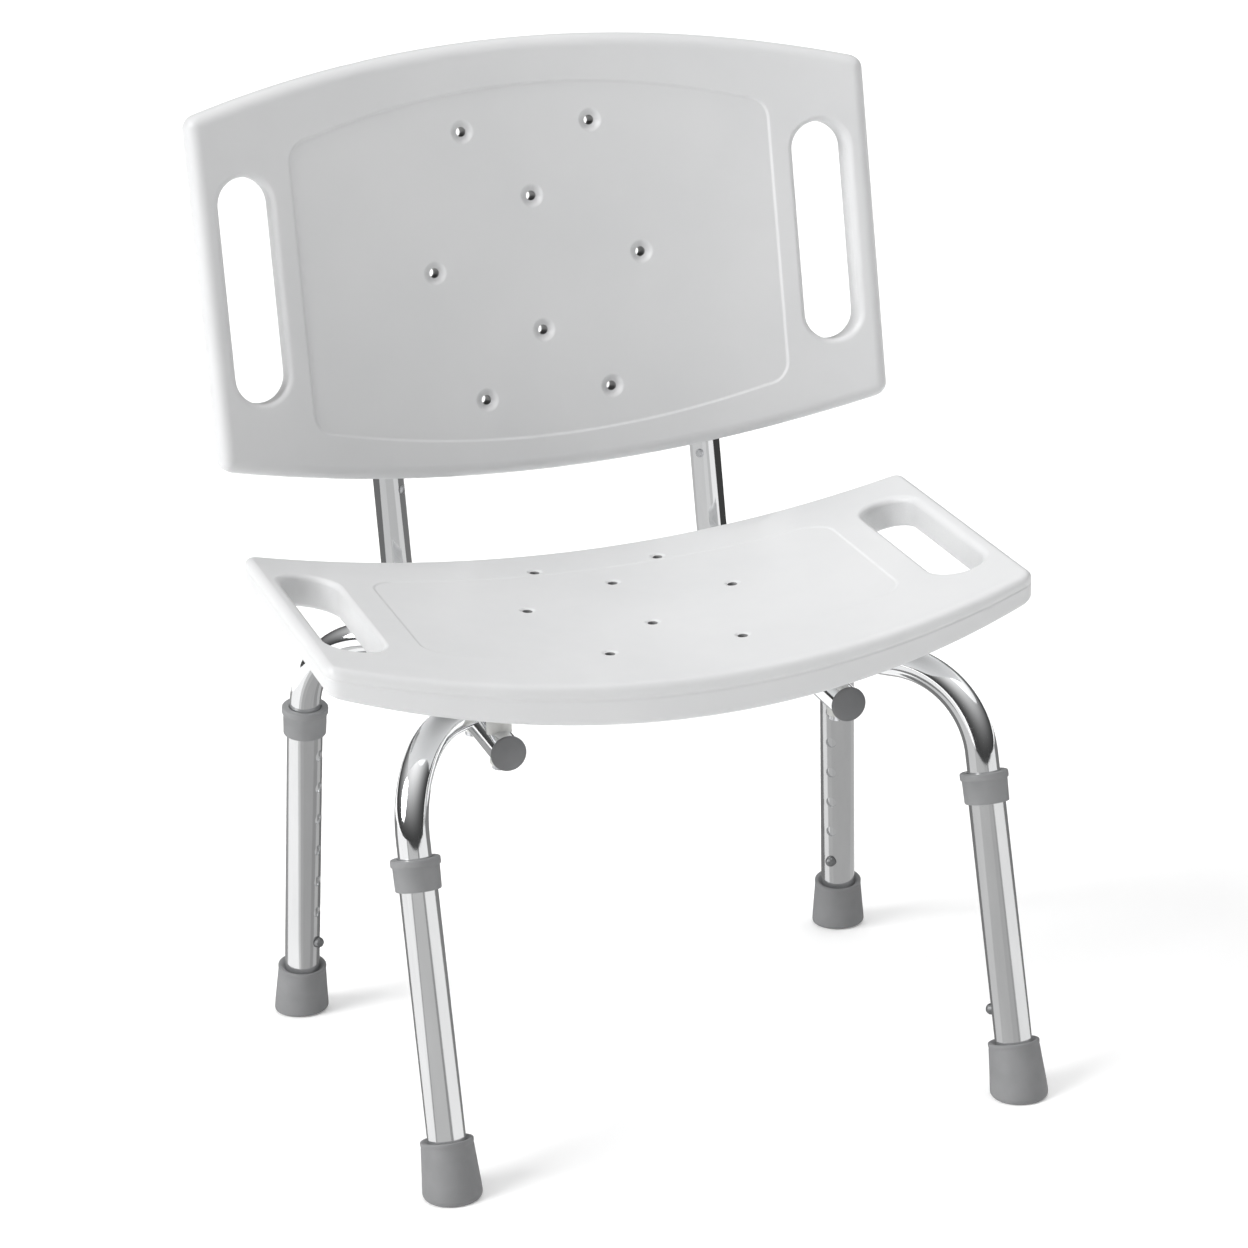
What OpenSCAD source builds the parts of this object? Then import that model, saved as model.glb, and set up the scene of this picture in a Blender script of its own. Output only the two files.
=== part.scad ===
// Bath chair with a backrest, height-adjustable on four sprung-button legs.
// Millimetres, +Z up. The user faces -Y, and +X is to the right of someone looking at the front.
// The origin is on the floor, under the middle of the chair.

/* [Seat] */
// Width across the seat
seat_w = 490; // [440:1:540]
// Length of the straight sides of the seat
seat_side = 240; // [200:1:280]
// How far the middle of the front edge stands out past its corners
seat_front_bow = 33; // [10:1:45]
// How far the middle of the rear edge stands out past its corners
seat_rear_bow = 4; // [0:1:20]
// Height of the middle of the sitting surface above the floor, with the legs at their shortest
seat_h = 330; // [320:1:360]
// How far the seat runs down towards the front, in degrees
seat_tilt = 4.6; // [0:0.1:6]

/* [Backrest] */
// Width across the backrest
back_w = 498; // [440:1:540]
// Length of the straight sides of the backrest
back_side = 244; // [200:1:280]
// How far the middle of the top edge stands out past its corners
back_top_bow = 36; // [10:1:45]
// How far the middle of the bottom edge stands out past its corners
back_bottom_bow = 29; // [10:1:45]
// Height of the middle of the backrest above the floor
back_h = 539; // [500:1:600]
// How far the backrest leans back, in degrees
recline = 7.1; // [0:0.1:15]

/* [Panels] */
// Thickness of the seat at its middle, over both of its skins
seat_t = 29; // [20:1:30]
// Radius of the seat's underside, smaller than the dish so that the seat thins towards its sides
seat_under_r = 830; // [780:10:1060]
// Thickness of the backrest over both of its skins
back_t = 22; // [18:1:26]
// Thickness of one skin
skin = 2.6; // [1.8:0.1:4]
// Radius of the sideways dish of both panels
dish_r = 1040; // [800:10:1600]
// Corner radius of a panel's outline
corner_r = 9; // [6:1:30]
// Length of a grip slot
slot_len = 158; // [110:1:170]
// Width of a grip slot
slot_w = 39; // [30:1:44]
// Distance from the middle of a panel to the middle of a grip slot
slot_x = 212.5; // [205:0.5:216]
// Diameter of a drain hole
drain_d = 7; // [4:0.5:9]

/* [Tubes] */
// Outside diameter of the upper leg tubes and the back tubes
upper_d = 22.2; // [20:0.1:24]
// Wall of the upper leg tubes and the back tubes
upper_wall = 1.4; // [1:0.1:2]
// Outside diameter of the sliding lower leg tubes
lower_d = 25.4; // [25:0.1:28]
// Gap all round between an upper tube and the lower tube that slides on it
slide_gap = 0.075; // [0.05:0.005:0.1]
// Radius of every bend in the leg tubes, to the middle of the tube
leg_bend_r = 68; // [55:1:72]
// Radius of the bend in the back tubes, to the middle of the tube
back_bend_r = 60; // [45:1:70]
// Distance from the middle of the chair to a back tube
back_tube_x = 120; // [110:1:125]

/* [Legs] */
// Half the distance between the front feet
front_foot_x = 200; // [180:1:220]
// Half the distance between the rear feet
rear_foot_x = 212; // [180:1:230]
// Distance of the front feet in front of the origin
front_foot_y = 195.5; // [170:0.5:210]
// Distance of the rear feet behind the origin
rear_foot_y = 176.5; // [150:0.5:200]
// Distance along a leg from the floor to the button
button_s = 60; // [56:1:70]
// Distance between two height holes
hole_pitch = 25.4; // [20:0.1:26]
// Number of height holes in each lower tube
hole_n = 7; // [2:1:7]

/* [Hidden] */

$fn = 64;
big = 1000;           // longer than anything that is cut with it
cut_reach = 60;       // further than a panel reaches on either side of its middle
eps = 0.05;           // working gap between two pieces that are clamped together
left = -1;
right = 1;

white_plastic = "#ececec";
grey_plastic = "#8a8c8f";
grey_rubber = "#7d7f82";
bright_metal = "#d4d6d9";
satin_metal = "#c3c6ca";
steel = "#9a9da1";
brass = "#b79a55";

// where the seat and the backrest stand
seat_at = [0, -16, seat_h];
back_at = [0, 169.5, back_h];

// heights of the tubes under the seat, measured square to the seat
upper_r = upper_d / 2;
lower_r = lower_d / 2;
leg_run_z = -35.5;
back_run_z = leg_run_z - upper_d - 0.2;
back_run_front = -94;
back_tube_top = 104;
cap_lip = 1.1;        // how far a front cap stands out past its tube
back_tube_depth = 21.9;

elbow_lap = 1;        // degrees an elbow runs on into the straights
elbow_swell = 0.03;   // how much wider an elbow is than the straights

// corners of a leg frame's centre line, in the seat's own frame
front_corner = [198.5, -123.6, leg_run_z];
rear_corner = [200, 133, leg_run_z];
front_inner = [back_tube_x, front_corner.y + front_corner.x - back_tube_x, leg_run_z];
rear_inner = [back_tube_x, rear_corner.y - rear_corner.x + back_tube_x, leg_run_z];

// fasteners
frame_bolt_y = [-9, 17];
spacer_bolt_y = [-74, 100];
back_screw_y = [-72, 72];
bolt_d = 6;
insert_d = 10;
insert_len = 12;
screw_d = 4.8;
head_h = 3.6;
washer_drop = 3;
stop_rivet_s = -154;

// legs
upper_end_s = 28;
foot_h = 38;
foot_bore_s = 8;
foot_washer_t = 2;
front_tube_top_s = 221;
rear_tube_top_s = 247;
collar_skirt = 19;
collar_lip = 2;
button_d = 7.8;
hole_d = 8.3;

// drain holes as [distance from the middle, distance along the panel]
seat_drain_pairs = [[45.5, 84], [74, 7], [46.5, -90]];
seat_drain_middle = [47, -40];
back_drain_pairs = [[47.5, 95], [77, -2], [47, -96]];
back_drain_middle = [45.5, -50.5];

// ---- vectors and frames ----

function unit(v) = v / norm(v);
function turned(v, a) = [v.x, v.y * cos(a) - v.z * sin(a), v.y * sin(a) + v.z * cos(a)];
function seat_point(p) = seat_at + turned(p, seat_tilt);
function side_point(p, side) = [side * p.x, p.y, p.z];

// stands its children at o, with their Z along z and their X towards x
module stand(o, z, x) {
    zz = unit(z);
    xx = unit(x - (x * zz) * zz);
    yy = cross(zz, xx);
    multmatrix([
        [xx.x, yy.x, zz.x, o.x],
        [xx.y, yy.y, zz.y, o.y],
        [xx.z, yy.z, zz.z, o.z],
        [0, 0, 0, 1]
    ]) children();
}

module on_seat() translate(seat_at) rotate([seat_tilt, 0, 0]) children();
module on_back() translate(back_at) rotate([90 - recline, 0, 0]) children();
module both_sides() for (side = [left, right]) flip(side) children();
module flip(side) mirror([side == left ? 1 : 0, 0, 0]) children();

// ---- bent tube ----

function way(p, i) = unit(p[i + 1] - p[i]);
function turn_angle(p, i) = acos(way(p, i - 1) * way(p, i));
function tangent(p, i, r) = i == 0 || i == len(p) - 1 ? 0 : r * tan(turn_angle(p, i) / 2);

// a tube runs along the corner points p and is bent to one radius at each inner corner;
// these give the way a bend turns to, and the frame of the straight piece that follows it
function bend_side(p, i) = let (u = way(p, i - 1), v = way(p, i)) unit(v - (v * u) * u);
function side_after(p, i) =
    bend_side(p, i) * cos(turn_angle(p, i)) - way(p, i - 1) * sin(turn_angle(p, i));
function axle(p, i) = cross(way(p, i - 1), bend_side(p, i));
function twist(p, i) = i == 1
    ? 0
    : atan2(bend_side(p, i) * axle(p, i - 1), bend_side(p, i) * side_after(p, i - 1));
function straight(p, i, bend_r) =
    norm(p[i + 1] - p[i]) - tangent(p, i, bend_r) - tangent(p, i + 1, bend_r);

// a rod of radius r: straight piece i and all that follows it, drawn along Z; the elbows
// swell by a hair and lap into the straights, so the whole run is one solid
module rod_run(p, r, bend_r, past, i = 0) {
    h = straight(p, i, bend_r);
    before = i == 0 ? past : 0;
    after = i == len(p) - 2 ? past : 0;
    translate([0, 0, -before]) cylinder(r = r, h = h + before + after);
    if (i < len(p) - 2) translate([0, 0, h]) rotate([0, 0, twist(p, i + 1)]) {
        turn = turn_angle(p, i + 1);
        translate([bend_r, 0, 0]) rotate([90, 0, 180]) rotate([0, 0, -elbow_lap])
            rotate_extrude(angle = turn + 2 * elbow_lap, $fn = 96)
                translate([bend_r, 0]) circle(r = r + elbow_swell);
        translate([bend_r, 0, 0]) rotate([0, turn, 0]) translate([-bend_r, 0, 0])
            rod_run(p, r, bend_r, past, i + 1);
    }
}

module bent_tube(p, bend_r) {
    stand(p[0], way(p, 0), bend_side(p, 1)) difference() {
        rod_run(p, upper_r, bend_r, 0);
        rod_run(p, upper_r - upper_wall, bend_r, 1);
    }
}

// ---- legs ----

// the foot's middle on the floor and the corner above it
function foot_point(front, side) = front
    ? [side * front_foot_x, -front_foot_y, 0]
    : [side * rear_foot_x, rear_foot_y, 0];
function corner_point(front, side) =
    side_point(seat_point(front ? front_corner : rear_corner), side);
function inner_point(front, side) =
    side_point(seat_point(front ? front_inner : rear_inner), side);
function tube_top_s(front) = front ? front_tube_top_s : rear_tube_top_s;

// leg frame: Z runs up the leg from the floor, X points to the side of the button
module on_leg(front, side) {
    foot = foot_point(front, side);
    corner = corner_point(front, side);
    stand(foot, corner - foot, inner_point(front, side) - corner) children();
}

// a hole along X through one wall, at s along the leg
module wall_hole(s, d) translate([0, 0, s]) rotate([0, 90, 0]) cylinder(d = d, h = 2 * lower_d);

module leg_frame(side) {
    ends = [for (front = [true, false])
        let (foot = foot_point(front, side), corner = corner_point(front, side))
            foot + upper_end_s * unit(corner - foot)];
    points = [
        ends[0], corner_point(true, side), inner_point(true, side),
        inner_point(false, side), corner_point(false, side), ends[1]
    ];
    color(bright_metal) difference() {
        bent_tube(points, leg_bend_r);
        for (front = [true, false]) on_leg(front, side) wall_hole(button_s, hole_d);
        on_seat() flip(side) bolt_holes(frame_bolt_y, bolt_d + 0.4);
    }
}

module lower_tube(front, side) {
    color(satin_metal) on_leg(front, side) difference() {
        translate([0, 0, foot_bore_s + foot_washer_t])
            cylinder(r = lower_r, h = tube_top_s(front) - foot_bore_s - foot_washer_t);
        cylinder(r = upper_r + slide_gap, h = big);
        for (i = [0:hole_n - 1]) wall_hole(button_s + i * hole_pitch, hole_d);
    }
}

module collar(front, side) {
    top = tube_top_s(front);
    color(grey_plastic) on_leg(front, side) difference() {
        translate([0, 0, top]) rotate_extrude() polygon([
            [0, -collar_skirt], [lower_r + 2.4, -collar_skirt], [lower_r + 2.8, -3],
            [lower_r + 3.8, -2], [lower_r + 3.8, collar_lip - 0.6],
            [lower_r + 3.2, collar_lip], [0, collar_lip]
        ]);
        cylinder(r = upper_r + 0.3, h = big);
        cylinder(r = lower_r + eps, h = top);
        if (button_s + (hole_n - 1) * hole_pitch + hole_d > top - collar_skirt)
            wall_hole(button_s + (hole_n - 1) * hole_pitch, hole_d + 1);
    }
}

module foot(front, side) {
    base_r = lower_r + 7;
    top_r = lower_r + 4.6;
    color(grey_rubber) difference() {
        on_leg(front, side) difference() {
            rotate_extrude() polygon([
                [0, -8], [base_r, -8], [base_r, 5], [base_r - 0.6, 12], [top_r + 0.4, foot_h - 3],
                [top_r + 0.2, foot_h - 1], [top_r - 1, foot_h], [0, foot_h]
            ]);
            translate([0, 0, foot_bore_s]) cylinder(r = lower_r + eps, h = foot_h);
        }
        translate([-big, -big, -big]) cube([2 * big, 2 * big, big]);
    }
}

module foot_washer(front, side) {
    color(steel) on_leg(front, side) translate([0, 0, foot_bore_s])
        cylinder(r = lower_r - 0.1, h = foot_washer_t);
}

// the button's domed head, its shank through both tubes and the flange that keeps it in
module button(front, side) {
    flange_x = 7.4;
    dome_x = lower_r + 0.8;
    color(steel) on_leg(front, side) translate([0, 0, button_s]) rotate([0, 90, 0]) {
        translate([0, 0, flange_x]) cylinder(d = 10, h = 0.8);
        translate([0, 0, flange_x]) cylinder(d = button_d, h = dome_x - flange_x);
        translate([0, 0, dome_x]) intersection() {
            sphere(d = button_d);
            cylinder(d = button_d, h = button_d);
        }
    }
}

// the leaf spring is a V inside the upper tube, one arm behind the button
module snap_spring(front, side) {
    t = 0.7;
    arm_x = 7.3;
    back_x = -8.2;
    fold_s = button_s - 26;
    color(steel) on_leg(front, side) rotate([90, 0, 0]) linear_extrude(height = 7, center = true)
        polygon([
            [arm_x, button_s - 6], [arm_x, button_s + 6], [arm_x - t, button_s + 6],
            [arm_x - t, button_s - 6], [0.4, fold_s + 2], [-0.8, fold_s + 2],
            [back_x + t, button_s - 4], [back_x, button_s - 4], [-1.4, fold_s], [1, fold_s]
        ]);
}

module snap_button_springs() {
    for (front = [true, false], side = [left, right]) snap_spring(front, side);
}

// ---- panels ----

// Half outline as points from the front middle to the rear middle, drawn in by inset
function bow_y(x, w, side, bow) = side / 2 + bow * (1 - pow(2 * x / w, 2));
function half_outline(w, side, front_bow, rear_bow, inset) = let (
    steps = 12,
    edge = w / 2 - inset,
    r = corner_r - inset / 2,
    reach = edge - r
) concat(
    [for (i = [0:steps]) let (x = reach * i / steps)
        [x, -bow_y(x, w, side, front_bow) + inset]],
    [for (a = [-60:20:0])
        [reach + r * cos(a), -bow_y(reach, w, side, front_bow) + inset + r + r * sin(a)]],
    [for (a = [0:20:60])
        [reach + r * cos(a), bow_y(reach, w, side, rear_bow) - inset - r + r * sin(a)]],
    [for (i = [steps:-1:0]) let (x = reach * i / steps)
        [x, bow_y(x, w, side, rear_bow) - inset]]
);
module panel_outline(w, side, front_bow, rear_bow, inset = 0) {
    half = half_outline(w, side, front_bow, rear_bow, inset);
    other = [for (i = [len(half) - 2:-1:1]) [-half[i].x, half[i].y]];
    polygon(concat(half, other));
}

// everything above a dished surface of radius r, whose lowest line lies depth below the panel's front face
module above_dish(depth, r) {
    translate([0, 0, r - depth]) rotate([90, 0, 0])
        cylinder(r = r, h = 2 * seat_w, center = true, $fn = 360);
}

// the layer that lies inset inside a panel's front face and its underside
module dish_layer(t, under_r, inset) {
    difference() {
        above_dish(t - inset, under_r - inset);
        above_dish(inset, dish_r + inset);
    }
}

module above_seat_underside() above_dish(seat_t + eps, seat_under_r + eps);

module slot_cut(grow = 0) {
    for (side = [left, right]) translate([side * slot_x, 0, -cut_reach])
        linear_extrude(height = 2 * cut_reach) {
            reach = (slot_len - slot_w) / 2;
            square([slot_w + 2 * grow, 2 * reach], center = true);
            for (end = [-1, 1]) translate([0, end * reach]) circle(d = slot_w + 2 * grow);
        }
}

function drains(pairs, middle) = concat(
    [for (p = pairs, side = [left, right]) [side * p.x, p.y]],
    [for (y = middle) [0, y]]
);

// height at x of a dished surface of radius r
function dish_z(x, r = dish_r) = r - sqrt(r * r - x * x);
function seat_underside_z(x) = dish_z(x, seat_under_r) - seat_t;

module drain_cut(at) {
    for (p = at) translate([p.x, p.y, dish_z(p.x)]) {
        translate([0, 0, -cut_reach]) cylinder(d = drain_d, h = 2 * cut_reach);
        translate([0, 0, -3]) cylinder(d1 = drain_d, d2 = drain_d * 2, h = 3.5);
    }
}

// a hollow panel: children are kept solid inside it
module hollow_panel(w, side, front_bow, rear_bow, t, under_r, drain_at) {
    difference() {
        intersection() {
            translate([0, 0, -cut_reach]) linear_extrude(height = 2 * cut_reach)
                panel_outline(w, side, front_bow, rear_bow);
            dish_layer(t, under_r, 0);
        }
        difference() {
            intersection() {
                translate([0, 0, -cut_reach]) linear_extrude(height = 2 * cut_reach)
                    panel_outline(w, side, front_bow, rear_bow, skin);
                dish_layer(t, under_r, skin);
            }
            slot_cut(skin);
            for (p = drain_at) translate([p.x, p.y, -cut_reach])
                cylinder(d = 2 * drain_d + 2 * skin, h = 2 * cut_reach);
            children();
        }
        slot_cut();
        drain_cut(drain_at);
    }
}

module bolt_holes(ys, d) {
    for (y = ys) translate([back_tube_x, y, -120]) cylinder(d = d, h = 200);
}

module insert_at(y, d, below = 0) {
    face = seat_underside_z(back_tube_x + insert_d / 2) + eps;
    translate([back_tube_x, y, face - below]) cylinder(d = d, h = insert_len + below);
}

module seat_panel() {
    color(white_plastic) on_seat() difference() {
        hollow_panel(seat_w, seat_side, seat_front_bow, seat_rear_bow, seat_t, seat_under_r,
                     drains(seat_drain_pairs, seat_drain_middle))
            both_sides() bolt_holes(concat(frame_bolt_y, spacer_bolt_y), insert_d + 6);
        both_sides() for (y = concat(frame_bolt_y, spacer_bolt_y)) insert_at(y, insert_d, 4);
    }
}

module tube_channel(r) {
    translate([back_tube_x, 0, -back_tube_depth]) rotate([90, 0, 0])
        cylinder(r = r, h = big, center = true);
}

module back_panel() {
    color(white_plastic) on_back() difference() {
        hollow_panel(back_w, back_side, back_bottom_bow, back_top_bow, back_t, dish_r + back_t,
                     drains(back_drain_pairs, back_drain_middle)) {
            both_sides() tube_channel(upper_r + skin);
            both_sides() bolt_holes(back_screw_y, screw_d + 8);
        }
        both_sides() tube_channel(upper_r + 2 * eps);
        both_sides() for (y = back_screw_y) translate([back_tube_x, y, -back_t])
            cylinder(d = screw_d, h = back_t + 2);
    }
}

// ---- back tubes ----

function back_point(p) = back_at + turned(p, 90 - recline);
function back_tube_points(side) = let (
    front = seat_point([back_tube_x, back_run_front, back_run_z]),
    top = back_point([back_tube_x, back_tube_top, -back_tube_depth]),
    run = turned([0, 1, 0], seat_tilt),
    rise = turned([0, 1, 0], 90 - recline),
    gap = top - front,
    along = (gap.y * rise.z - gap.z * rise.y) / (run.y * rise.z - run.z * rise.y)
) [for (p = [front, front + along * run, top]) side_point(p, side)];

module back_tube(side) {
    color(bright_metal) difference() {
        bent_tube(back_tube_points(side), back_bend_r);
        on_seat() flip(side) bolt_holes(concat(frame_bolt_y, spacer_bolt_y), bolt_d + 0.4);
        on_back() flip(side) {
            bolt_holes(back_screw_y, screw_d + 0.4);
            stop_rivet_place() cylinder(d = 4.4, h = 20);
        }
    }
}

// a domed plug for a tube end, with a head of radius r: Z points out of the tube
module tube_plug(r) {
    stem = 14;
    rim = 2;
    rise = 2.4;
    dome_r = 30;
    translate([0, 0, -stem]) cylinder(r = upper_r - upper_wall - eps, h = stem);
    cylinder(r = r, h = rim);
    translate([0, 0, rim]) intersection() {
        translate([0, 0, rise - dome_r]) sphere(r = dome_r, $fn = 96);
        cylinder(r = r, h = stem);
    }
}

module front_cap(side) {
    p = back_tube_points(side);
    color(grey_plastic) stand(p[0], p[0] - p[1], [1, 0, 0]) tube_plug(upper_r + cap_lip);
}

module back_tube_top_plugs() {
    for (side = [left, right]) {
        p = back_tube_points(side);
        color(grey_plastic) stand(p[2], p[2] - p[1], [1, 0, 0]) tube_plug(upper_r);
    }
}

// the rivet that the backrest's lower edge stands on: Z points out of the tube, inwards and forwards
module stop_rivet_place() {
    translate([back_tube_x, stop_rivet_s, -back_tube_depth]) rotate([0, -40, 0]) children();
}

module back_stop_rivets() {
    color(steel) on_back() both_sides() stop_rivet_place() {
        translate([0, 0, upper_r - upper_wall - 1]) cylinder(d = 4.2, h = upper_wall + 1.4);
        translate([0, 0, upper_r + 0.1]) intersection() {
            translate([0, 0, 1.6 - 4]) sphere(r = 4);
            cylinder(d = 7, h = 3);
        }
    }
}

// ---- under the seat ----

// a saddle block between each leg frame and the seat
module tube_saddles() {
    block = [26, 40, 40];
    middle = (frame_bolt_y[0] + frame_bolt_y[1]) / 2;
    color(grey_plastic) on_seat() both_sides() difference() {
        translate([back_tube_x, middle, leg_run_z + 4 + block.z / 2]) cube(block, center = true);
        translate([back_tube_x, 0, leg_run_z]) rotate([90, 0, 0])
            cylinder(r = upper_r + eps, h = big, center = true);
        above_seat_underside();
        bolt_holes(frame_bolt_y, bolt_d + 0.4);
    }
}

// a round spacer between each back tube and the seat, at its front and at its rear
module seat_spacers() {
    color(grey_plastic) on_seat() both_sides() difference() {
        for (y = spacer_bolt_y) translate([back_tube_x, y, back_run_z + 5]) cylinder(d = 17, h = 60);
        translate([back_tube_x, 0, back_run_z]) rotate([90, 0, 0])
            cylinder(r = upper_r + eps, h = big, center = true);
        above_seat_underside();
        bolt_holes(spacer_bolt_y, bolt_d + 0.4);
    }
}

// a bolt up through the tubes into its insert: the head hangs below the back tube
module bolt(y) {
    seat_face = back_run_z - upper_r - washer_drop;
    top = seat_underside_z(back_tube_x) + insert_len - 1;
    translate([back_tube_x, y, seat_face]) cylinder(d = bolt_d - 0.1, h = top - seat_face);
    difference() {
        translate([back_tube_x, y, seat_face - head_h]) cylinder(d = 11, h = head_h);
        translate([back_tube_x, y, seat_face - head_h - 1]) cylinder(d = 4.6, h = 3, $fn = 6);
    }
}

module frame_bolts() color(steel) on_seat() both_sides() for (y = frame_bolt_y) bolt(y);
module spacer_bolts() color(steel) on_seat() both_sides() for (y = spacer_bolt_y) bolt(y);

// a washer shaped to the round of the back tube, under each bolt head
module bolt_saddle_washers() {
    color(grey_plastic) on_seat() both_sides() difference() {
        for (y = concat(frame_bolt_y, spacer_bolt_y))
            translate([back_tube_x, y, back_run_z - upper_r - washer_drop])
                cylinder(d = 14, h = washer_drop + 3);
        translate([back_tube_x, 0, back_run_z]) rotate([90, 0, 0])
            cylinder(r = upper_r + eps, h = big, center = true);
        bolt_holes(concat(frame_bolt_y, spacer_bolt_y), bolt_d + 0.4);
    }
}

module seat_inserts() {
    color(brass) on_seat() both_sides() difference() {
        for (y = concat(frame_bolt_y, spacer_bolt_y)) insert_at(y, insert_d - 2 * eps);
        bolt_holes(concat(frame_bolt_y, spacer_bolt_y), bolt_d);
    }
}

// ---- behind the backrest ----

module back_screws() {
    color(steel) on_back() both_sides() for (y = back_screw_y) {
        face = -back_tube_depth - upper_r - 1.6;
        translate([back_tube_x, y, face]) cylinder(d = screw_d - 0.1, h = 1 - face);
        translate([back_tube_x, y, face - 2.8]) cylinder(d1 = 7, d2 = 9, h = 2.8);
    }
}

module back_screw_washers() {
    color(grey_plastic) on_back() both_sides() difference() {
        for (y = back_screw_y)
            translate([back_tube_x, y, -back_tube_depth - upper_r - 1.6]) cylinder(d = 13, h = 4);
        translate([back_tube_x, 0, -back_tube_depth]) rotate([90, 0, 0])
            cylinder(r = upper_r + eps, h = big, center = true);
        bolt_holes(back_screw_y, screw_d + 0.4);
    }
}

seat_panel();
back_panel();
leg_frame(left);  // left_leg_frame
leg_frame(right);  // right_leg_frame
back_tube(left);  // left_back_tube
back_tube(right);  // right_back_tube
front_cap(left);  // left_front_cap
front_cap(right);  // right_front_cap
back_tube_top_plugs();
tube_saddles();
seat_spacers();
frame_bolts();
spacer_bolts();
bolt_saddle_washers();
seat_inserts();
back_screws();
back_screw_washers();
back_stop_rivets();
snap_button_springs();
lower_tube(true, left);  // front_left_lower_tube
collar(true, left);  // front_left_collar
foot(true, left);  // front_left_foot
foot_washer(true, left);  // front_left_foot_washer
button(true, left);  // front_left_button
lower_tube(true, right);  // front_right_lower_tube
collar(true, right);  // front_right_collar
foot(true, right);  // front_right_foot
foot_washer(true, right);  // front_right_foot_washer
button(true, right);  // front_right_button
lower_tube(false, left);  // rear_left_lower_tube
collar(false, left);  // rear_left_collar
foot(false, left);  // rear_left_foot
foot_washer(false, left);  // rear_left_foot_washer
button(false, left);  // rear_left_button
lower_tube(false, right);  // rear_right_lower_tube
collar(false, right);  // rear_right_collar
foot(false, right);  // rear_right_foot
foot_washer(false, right);  // rear_right_foot_washer
button(false, right);  // rear_right_button
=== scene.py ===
"""A bath chair with a backrest: its looks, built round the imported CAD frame.

The scene is in metres and the shapes below are in millimetres; +Z is up and the user faces -Y.
"""
import math

import bpy
import numpy as np
from mathutils import Matrix, Vector
from mathutils.geometry import delaunay_2d_cdt


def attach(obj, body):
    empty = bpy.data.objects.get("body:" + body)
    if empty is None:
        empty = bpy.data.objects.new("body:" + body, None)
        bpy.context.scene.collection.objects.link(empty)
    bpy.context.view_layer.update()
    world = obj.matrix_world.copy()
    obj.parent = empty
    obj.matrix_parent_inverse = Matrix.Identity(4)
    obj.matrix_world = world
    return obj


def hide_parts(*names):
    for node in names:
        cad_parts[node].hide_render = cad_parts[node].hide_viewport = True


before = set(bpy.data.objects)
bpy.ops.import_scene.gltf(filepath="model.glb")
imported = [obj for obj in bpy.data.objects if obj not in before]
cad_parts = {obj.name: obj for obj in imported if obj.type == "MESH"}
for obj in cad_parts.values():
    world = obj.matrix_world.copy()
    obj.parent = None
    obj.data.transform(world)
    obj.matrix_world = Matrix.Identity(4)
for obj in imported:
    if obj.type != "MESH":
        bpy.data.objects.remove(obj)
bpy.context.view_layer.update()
MM = 0.001

# ---------------------------------------------------------------- the design, as in part.scad (mm)
# where the middle of each panel is, and how many degrees it leans back
SEAT_AT, SEAT_TILT = np.array([0, -16, 330.0]), 4.6
BACK_AT, RECLINE = np.array([0, 169.5, 539.0]), 7.1

# the panels: their thickness and curves, grip slots and drain holes
SEAT_T, SEAT_UNDER_R, BACK_T, DISH_R, CORNER_R = 29.0, 830.0, 22.0, 1040.0, 9.0
SLOT_X, SLOT_W, SLOT_LEN, DRAIN_R = 212.5, 39.0, 158.0, 3.5
SEAT = dict(w=490.0, side=240.0, low_bow=33.0, high_bow=4.0)
BACK = dict(w=498.0, side=244.0, low_bow=29.0, high_bow=36.0)
SEAT_DRAINS = [(45.5, 84), (74, 7), (46.5, -90), (0, 47), (0, -40)]
BACK_DRAINS = [(47.5, 95), (77, -2), (47, -96), (0, 45.5), (0, -50.5)]

# the tubes: TUBE_X and TUBE_DEPTH place a back tube in the rear of the back panel
TUBE_X, TUBE_DEPTH, TUBE_PLAY = 120.0, 21.9, 0.1
UPPER_R, UPPER_WALL, LOWER_R, LOWER_IN = 11.1, 1.4, 12.7, 11.175
LEG_BEND, BACK_BEND = 68.0, 60.0
LEG_Z = -35.5
BACK_RUN_Z, BACK_RUN_FRONT, BACK_TUBE_TOP = LEG_Z - 22.4, -94.0, 104.0
FRONT_CORNER, REAR_CORNER = (198.5, -123.6, LEG_Z), (200.0, 133.0, LEG_Z)
FRONT_INNER = (TUBE_X, FRONT_CORNER[1] + FRONT_CORNER[0] - TUBE_X, LEG_Z)
REAR_INNER = (TUBE_X, REAR_CORNER[1] - REAR_CORNER[0] + TUBE_X, LEG_Z)

# the legs, as heights up the leg's own line from the floor
FRONT_FOOT, REAR_FOOT = (200.0, -195.5, 0.0), (212.0, 176.5, 0.0)
UPPER_END, TUBE_TOP = 28.0, {"front": 221.0, "rear": 247.0}
BUTTON_S, HOLE_PITCH, HOLE_N, HOLE_R = 60.0, 25.4, 7, 4.15
FOOT_H, FOOT_BORE, COLLAR_SKIRT, COLLAR_LIP, CAP_LIP = 38.0, 8.0, 19.0, 2.0, 1.1

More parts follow.
